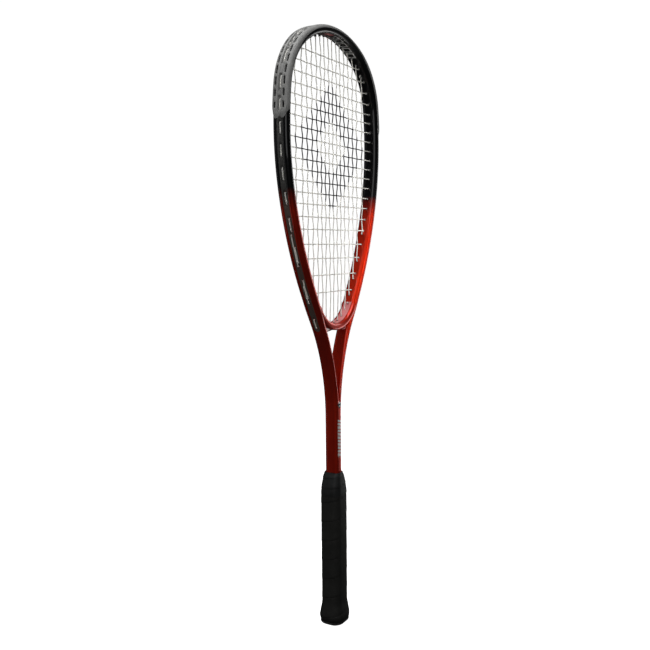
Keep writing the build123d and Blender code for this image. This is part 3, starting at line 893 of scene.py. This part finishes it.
def build_bridge_strip():
    """The short strip in the recess under the bridge."""
    verts, faces = [], []
    rows, span = 30, 14.3
    for row in range(rows):
        across = span * (2 * row / (rows - 1) - 1)
        roof = bridge_underside(across) + RECESS_ROOF
        width = sqrt(max(0.03, 1 - max(0.0, (abs(across) - span + 2.6) / 2.6)**2))
        half = [(roof + 0.4, 0.0), (roof + 0.4, 2.8), (roof - 0.9, 2.85), (roof - 1.25, 2.6),
                (roof - 1.3, 2.0), (roof - 1.15, 1.75), (roof - STRIP_THICKNESS, 1.6),
                (roof - STRIP_THICKNESS, 0.0)]
        loop = both_halves(half)
        verts += [(across, y * width, z) for z, y in loop]
    faces += closed_faces(rows, len(loop))
    strip = plain_object("bridge_strip_moulding", verts, faces)
    fit_grommets(strip, bridge_ends)
    finish_piece(strip, STRIP, "bridge_grommet_strip")


build_bridge_strip()


# -------- strings
main_xs = [-across for across in MAIN_X[::-1]] + list(MAIN_X)
main_spans = [(end["inner"][1], top["inner"][1]) for end, top in zip(main_feet, main_tops)]
main_spans = main_spans[::-1] + main_spans


def weave_keys(first, last):
    """Places across the bed where a string passes over or under others: (share, lift)."""
    keys = []
    if abs(first[0] - last[0]) < 1e-6:
        number = min(range(16), key=lambda i: abs(main_xs[i] - first[0]))
        for row, height in enumerate(CROSS_Z):
            share = (height - first[1]) / (last[1] - first[1])
            if 0.01 < share < 0.99:
                keys.append((share, WEAVE * (-1)**(number + row)))
    else:
        row = min(range(len(CROSS_Z)), key=lambda i: abs(CROSS_Z[i] - first[1]))
        for number, (across, (low, high)) in enumerate(zip(main_xs, main_spans)):
            share = (across - first[0]) / (last[0] - first[0])
            if 0.01 < share < 0.99 and low < first[1] < high:
                keys.append((share, -WEAVE * (-1)**(number + row)))
    return sorted(keys)


def bed_points(first, last, plane):
    """Points of a string across the bed, over and under the ones it crosses."""
    keys = [(0.0, plane)] + weave_keys(first, last) + [(1.0, plane)]
    points = []
    for (start, start_y), (stop, stop_y) in zip(keys, keys[1:]):
        for step in range(7):
            share = start + (stop - start) * step / 7
            ease = (1 - cos(pi * step / 7)) / 2
            points.append(Vector((first[0] + (last[0] - first[0]) * share,
                                  start_y + (stop_y - start_y) * ease,
                                  first[1] + (last[1] - first[1]) * share)))
    return points[1:]


def channel_run(first, last, plane):
    """Points of a string in the channel between two holes."""
    if "along" not in first:
        return []
    start, stop = first["along"], last["along"]
    count = ceil(abs(stop - start) / 2.5)
    points = []
    for step in range(1, count):
        along = start + (stop - start) * step / count
        rise = 0.75 * (1 - smooth(BUMPER_ALONG - 6, BUMPER_ALONG + 2, abs(along)))
        x, z = wall_point(along, STRING_INSET - rise)
        points.append(Vector((x, plane, z)))
    return points


def string_points(route):
    """The whole way of a string, with its corners rounded."""
    raw = []
    for number, end in enumerate(route):
        plane = end["plane"]
        inner, outer = (Vector((end[key][0], plane, end[key][1])) for key in ("inner", "outer"))
        if number % 2 == 0:
            raw += [(inner, CORNER_REACH), (outer, 0.75)]
            raw += [(point, 0) for point in channel_run(end, route[number + 1], plane)]
        else:
            raw += [(outer, 0.75), (inner, CORNER_REACH)]
            if number + 1 < len(route):
                bed = bed_points(end["inner"], route[number + 1]["inner"], plane)
                raw += [(point, 0) for point in bed]
    points = [raw[0][0]]
    for (before, _), (corner, reach), (after, _) in zip(raw, raw[1:], raw[2:]):
        if reach == 0:
            points.append(corner)
            continue
        back = corner + (before - corner).normalized() * min(reach, (before - corner).length / 2)
        on = corner + (after - corner).normalized() * min(reach, (after - corner).length / 2)
        for share in (0.0, 0.2, 0.4, 0.6, 0.8, 1.0):
            points.append(back * (1 - share)**2 + corner * (2 * share * (1 - share))
                          + on * share**2)
    points.append(raw[-1][0])
    return points


def add_knot(tip, direction, verts, faces):
    """A tie-off: two tight turns round the string, and a short cut tail."""
    up = Vector((0, 1, 0))
    side = direction.cross(up).normalized()
    coil = []
    for step in range(45):
        angle = 2 * pi * 2 * step / 44
        along = 0.1 + 1.3 * step / 44
        coil.append(tip + direction * along + side * (0.42 * cos(angle)) + up * (0.42 * sin(angle)))
    path = coil + [coil[-1] + direction * (0.2 * k) + side * (0.12 * k) for k in range(1, 4)]
    tube(path, [STRING_RADIUS * 0.8] * len(path), 8, verts, faces,
         up=direction.cross(side).normalized() + side * 0.3)
    core = [tip + direction * (0.3 * k) for k in range(0, 6)]
    tube(core, [STRING_RADIUS] * 5 + [STRING_RADIUS * 0.8], 8, verts, faces)


def build_string(name, route, node):
    """A string as one woven tube with a knot at each end."""
    verts, faces = [], []
    points = string_points(route)
    tube(points, [STRING_RADIUS] * len(points), 10, verts, faces)
    for tip, inside in ((points[0], points[1]), (points[-1], points[-2])):
        add_knot(tip, (tip - inside).normalized(), verts, faces)
    make_piece(name, verts, faces, STRING, node, crease=60, merge=1e-4)


build_string("main_string_woven", main_route, "main_string")
build_string("cross_string_woven", cross_route, "cross_string")


# -------- handle
QUADRANTS = ((1, 1), (-1, 1), (-1, -1), (1, -1))
RIM = []  # angle on the corner, and how far out the corner is in x and in y
for quadrant, (sign_x, sign_y) in enumerate(QUADRANTS):
    next_x, next_y = QUADRANTS[(quadrant + 1) % 4]
    for step in range(11):
        RIM.append((radians(90 * quadrant + 9 * step), sign_x, sign_y))
    for step in range(1, 6):
        share = step / 6
        RIM.append((radians(90 * quadrant + 90), sign_x + (next_x - sign_x) * share,
                    sign_y + (next_y - sign_y) * share))


def handle_size(height):
    """Width, depth and corner radius of the handle's outer face at a height."""
    for low, high in zip(GRIP_SECTIONS, GRIP_SECTIONS[1:]):
        if height <= high[0]:
            break
    share = min(1.0, max(0.0, (height - low[0]) / (high[0] - low[0])))
    if low[0] >= 9:
        share = share * share * (3 - 2 * share) * 0.5 + share * 0.5
    return [a + share * (b - a) for a, b in zip(low[1:], high[1:])]


def handle_point(number, height, offset):
    """Point on the handle's outer face, moved out by an offset."""
    angle, across, through = RIM[number]
    width, depth, corner = handle_size(height)
    reach = corner + offset
    return (across * (width / 2 - corner) + reach * cos(angle),
            through * (depth / 2 - corner) + reach * sin(angle), height)


flat_ring = [handle_point(number, 90.0, 0.0) for number in range(len(RIM))]
steps = [hypot(b[0] - a[0], b[1] - a[1]) for a, b in zip(flat_ring, flat_ring[1:] + flat_ring[:1])]
RIM_SHARE = [sum(steps[:number]) / sum(steps) for number in range(len(RIM))]


def profile_value(table, place):
    """Value of a piecewise-linear profile."""
    for (low, low_value), (high, high_value) in zip(table, table[1:]):
        if place <= high:
            return low_value + (high_value - low_value) * (place - low) / (high - low)
    return table[-1][1]


def wound_piece(name, foot, top, pitch, start, profile, inner_offset, material, node,
                ends):
    """A tape wound up the handle: rows follow the helix, and its edge makes a ridge."""
    places = [place for place, _ in profile[:-1]]
    turns = ceil((top - foot) / pitch) + 2
    rows = []
    for turn in range(-2, turns):
        rows += [foot + start + turn * pitch + place for place in places]
    verts, faces = [], []
    for base in rows:
        for number, share in enumerate(RIM_SHARE):
            height = min(top, max(foot, base + share * pitch))
            place = (height - foot - start - share * pitch) % pitch
            lift = profile_value(profile, place)
            if foot < TAPE_FOOT:
                lift -= 0.4 * smooth(TAPE_FOOT - 1, TAPE_FOOT + 1, height)
            lift *= smooth(-0.4, 2.0, height - foot) * smooth(-0.4, 2.0, top - height)
            near = min(height - foot, top - height)
            lift -= ends * (1 - sqrt(1 - (1 - min(1.0, near / 0.9))**2))
            verts.append(handle_point(number, height, lift))
    count, jump = len(RIM), len(places)
    for row in range(len(rows) - 1):
        for number in range(count - 1):
            a = row * count + number
            faces.append((a, a + 1, a + 1 + count, a + count))
    for row in range(len(rows) - jump - 1):
        a, b = row * count + count - 1, (row + jump) * count
        faces.append((b - jump * count + count - 1, b, b + count, a + count))
    first = len(verts)
    inner_heights = [foot] + [h for h, *_ in GRIP_SECTIONS if foot < h < top] + [top]
    for height in inner_heights:
        verts += [handle_point(number, height, inner_offset) for number in range(count)]
    faces += grid_faces(len(inner_heights), count, first)
    last = first + (len(inner_heights) - 1) * count
    for edge, height in ((first, foot), (last, top)):
        ring = len(verts)
        verts += [handle_point(number, height, -ends) for number in range(count)]
        for number in range(count):
            follow = (number + 1) % count
            faces.append((edge + number, edge + follow, ring + follow, ring + number))
    return make_piece(name, verts, faces, material, node, crease=48, merge=2e-3)


GRIP_PROFILE = ((0.0, -0.22), (0.3, 0.0), (0.6, 0.1), (1.1, 0.18), (2.0, 0.22), (4.0, 0.18),
                (7.0, 0.1), (11.0, 0.04), (16.0, 0.0), (20.0, -0.01), (22.0, -0.03),
                (22.7, -0.1), (23.0, -0.22))
TAPE_PROFILE = ((0.0, -0.04), (0.25, 0.12), (0.7, 0.2), (2.0, 0.18), (5.0, 0.1), (9.0, 0.03),
                (11.5, 0.0), (12.0, -0.04))
wound_piece("grip_tape_wound", GRIP_FOOT, GRIP_TOP, GRIP_PITCH, 18.6, GRIP_PROFILE, -1.6,
            GRIP, "grip_tape", ends=0.8)
wound_piece("finishing_tape_wound", TAPE_FOOT, TAPE_TOP, 12.0, 3.0,
            [(place, lift + 0.1) for place, lift in TAPE_PROFILE], -0.3,
            TAPE, "grip_finishing_tape", ends=-0.05)


def build_cap():
    """The butt cap: a rolled rim and a dished end with a plain ring."""
    verts, faces = [], []
    rings = [(22.0, -2.2), (GRIP_FOOT, -2.0), (GRIP_FOOT, -0.25), (2.6, 0.0), (1.9, 0.05),
             (1.2, -0.1), (0.55, -0.55), (0.15, -1.2), (0.0, -2.1)]
    for height, offset in rings:
        for number in range(len(RIM)):
            x, y, _ = handle_point(number, max(height, 2.9), offset)
            verts.append((x, y, height))
    flat = [(0.0, 0.78), (0.25, 0.74), (0.75, 0.7), (0.85, 0.62), (0.85, 0.4), (0.6, 0.36),
            (0.5, 0.3), (0.5, 0.2), (0.62, 0.16), (0.7, 0.05)]
    edge = verts[-len(RIM):]
    for height, share in flat:
        verts += [(x * share / 0.86, y * share / 0.86, height) for x, y, _ in edge]
    count = len(rings) + len(flat)
    faces += closed_faces(count, len(RIM))
    make_piece("butt_cap_moulding", verts, faces, CAP, "butt_cap", crease=40)


build_cap()

for node, material in (("handle_pallet_left", FOAM), ("handle_pallet_right", FOAM),
                       ("butt_cap_staples", STEEL), ("grip_adhesive_strip", ADHESIVE)):
    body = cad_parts[node]
    for place in range(len(body.material_slots)):
        body.material_slots[place].material = material


# -------- stage, light, camera
def area_light(name, place, aim, size, power):
    """A soft rectangular light aimed at a point, in metres."""
    data = bpy.data.lights.new(name, "AREA")
    data.shape = "RECTANGLE"
    data.size, data.size_y = size
    data.energy = power
    light = add_object(name, data)
    light.visible_camera = False
    light.location = place
    light.rotation_euler = (Vector(aim) - Vector(place)).to_track_quat("-Z", "Y").to_euler()
    return light


def build_stage():
    """A white floor and a white dome behind it, which light nothing."""
    bpy.ops.mesh.primitive_plane_add(size=60, location=(0, 0, 0))
    floor = bpy.context.object
    floor.name = "floor"
    bpy.ops.mesh.primitive_uv_sphere_add(radius=24, segments=48, ring_count=24)
    dome = bpy.context.object
    dome.name = "backdrop"
    for piece in (floor, dome):
        paint = Paint(piece.name + "_white")
        paint.set("Base Color", (0.9, 0.9, 0.9))
        paint.set("Roughness", 1.0)
        paint.set("Emission Color", (1, 1, 1))
        paint.set("Emission Strength", 1.0)
        piece.data.materials.append(paint.material)
        piece.visible_diffuse = False
        piece.visible_glossy = False
        piece.visible_shadow = False


build_stage()
world = bpy.data.worlds.new("studio")
bpy.context.scene.world = world
world.use_nodes = True
world.node_tree.nodes["Background"].inputs[0].default_value = (1, 1, 1, 1)
world.node_tree.nodes["Background"].inputs[1].default_value = 0.032
area_light("key_front_right", (0.44, -0.11, 0.33), (0.108, 0.0, 0.33), (0.13, 0.62), 0.6)
strip = area_light("strip_front", (0.04, -0.34, 0.22), (0.105, 0.0, 0.22), (0.05, 0.52), 0.31)
strip.data.spread = radians(32)
area_light("top_soft", (-0.25, -0.08, 1.6), (0, 0, 0.66), (1.2, 1.2), 15)
area_light("fill_camera", (-1.6, -0.9, 1.0), (0, 0, 0.4), (1.2, 1.2), 6)
area_light("fill_back_left", (-0.8, 1.1, 0.5), (0, 0, 0.45), (0.35, 1.4), 0.9)

CAMERA_PLACE, CAMERA_LENS = (-0.7769, -0.4601, 0.4426), 43.58
CAMERA_YAW, CAMERA_PITCH, CAMERA_ROLL = 58.82, -5.6, -0.53
camera_data = bpy.data.cameras.new("camera")
camera = add_object("camera", camera_data)
yaw, pitch, roll = radians(CAMERA_YAW), radians(CAMERA_PITCH), radians(CAMERA_ROLL)
look = Vector((cos(pitch) * sin(yaw), cos(pitch) * cos(yaw), sin(pitch)))
level = Vector((cos(yaw), -sin(yaw), 0))
lift = level.cross(look)
right = cos(roll) * level + sin(roll) * lift
up = -sin(roll) * level + cos(roll) * lift
camera.matrix_world = Matrix((
    (right.x, up.x, -look.x, CAMERA_PLACE[0]),
    (right.y, up.y, -look.y, CAMERA_PLACE[1]),
    (right.z, up.z, -look.z, CAMERA_PLACE[2]),
    (0, 0, 0, 1)))
camera_data.sensor_width = 36
camera_data.lens = CAMERA_LENS
camera_data.clip_start = 0.01
bpy.context.scene.camera = camera
bpy.context.scene.view_settings.view_transform = "Standard"
